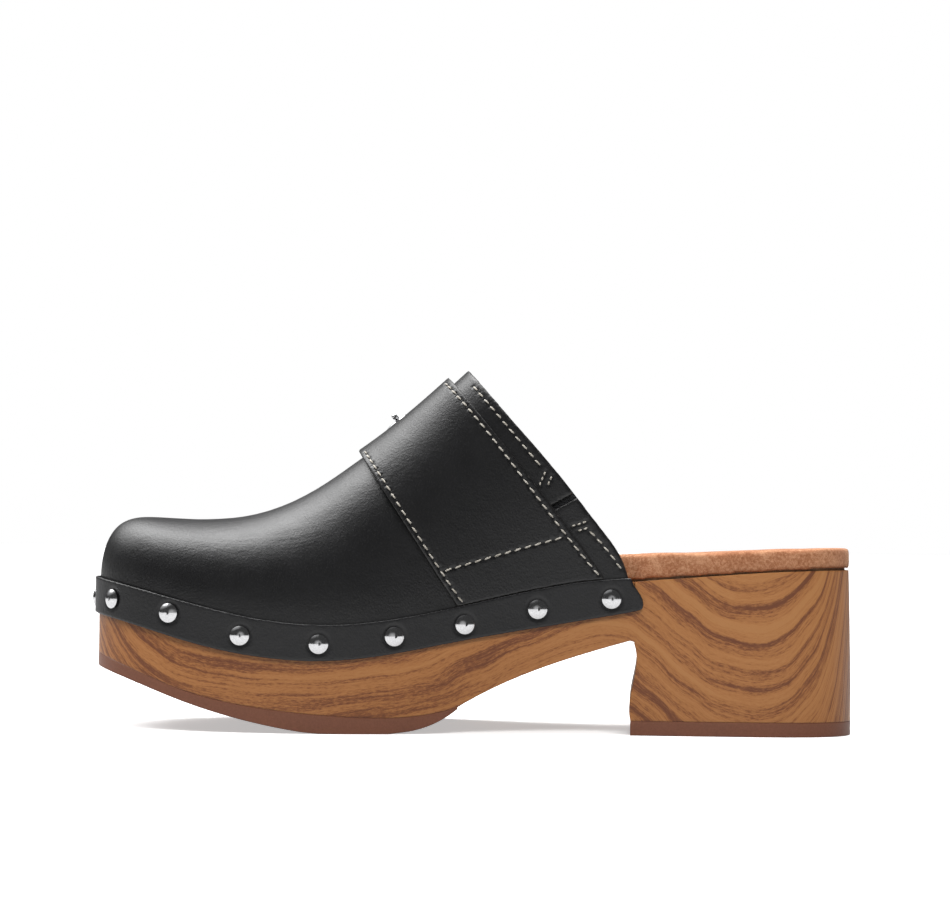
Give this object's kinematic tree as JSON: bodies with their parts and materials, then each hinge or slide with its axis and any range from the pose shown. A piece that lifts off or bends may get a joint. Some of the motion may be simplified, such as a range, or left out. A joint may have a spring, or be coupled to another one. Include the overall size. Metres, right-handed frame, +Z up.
{
  "type": "wooden clog",
  "caption": "Right-foot backless clog: one-piece wooden platform and block heel, leather upper under a nailed leather rand, wide instep strap with a side buckle.",
  "frame": {"origin": "centre of the heel's contact face on the ground, which is the heel_rest mount", "axes": "+Z up, toe towards -X, heel's rear towards +X, medial (inner) side of this right shoe towards -Y"},
  "size_m": [0.261, 0.0996, 0.1232],
  "materials": {
    "wood": "satin oiled",
    "outsole_rubber": "satin",
    "board": "matte",
    "foam": "matte foam",
    "suede": "suede nap",
    "black_leather": "smooth semi-matte",
    "strap_leather": "smooth semi-matte",
    "rand_leather": "smooth semi-matte, cut edges",
    "lining_leather": "matte",
    "elastic": "woven",
    "polished_metal": "polished nickel",
    "pale_thread": "waxed thread"
  },
  "bodies": {
    "clog": {"wooden_sole": "wood", "forefoot_outsole": "outsole_rubber", "heel_top_piece": "outsole_rubber", "insole_board": "board", "footbed_foam": "foam", "suede_footbed_cover": "suede", "vamp": "black_leather", "vamp_lining": "lining_leather", "toe_puff": "board", "elastic_gore": "elastic", "rand": "rand_leather", "rand_studs": "polished_metal", "instep_strap": "strap_leather", "strap_lining": "lining_leather", "buckle_chape": "strap_leather", "strap_keeper": "strap_leather", "strap_edge_stitching": "pale_thread", "strap_cross_stitching": "pale_thread", "topline_stitching": "pale_thread", "gore_stitching": "pale_thread"},
    "buckle_frame": {"buckle_frame": "polished_metal"},
    "buckle_prong": {"buckle_prong": "polished_metal"}
  },
  "joints": [
    {"name": "frame_swing", "type": "hinge", "parent": "clog", "child": "buckle_frame", "pos_m": [-0.10974, 0.02661, 0.09485], "axis": [-0.7892, 0.0387, -0.613], "range_deg": [0, 12]},
    {"name": "prong_lift", "type": "hinge", "parent": "buckle_frame", "child": "buckle_prong", "pos_m": [-0.10974, 0.02661, 0.09485], "axis": [-0.7892, 0.0387, -0.613], "range_deg": [0, 50]}
  ]
}
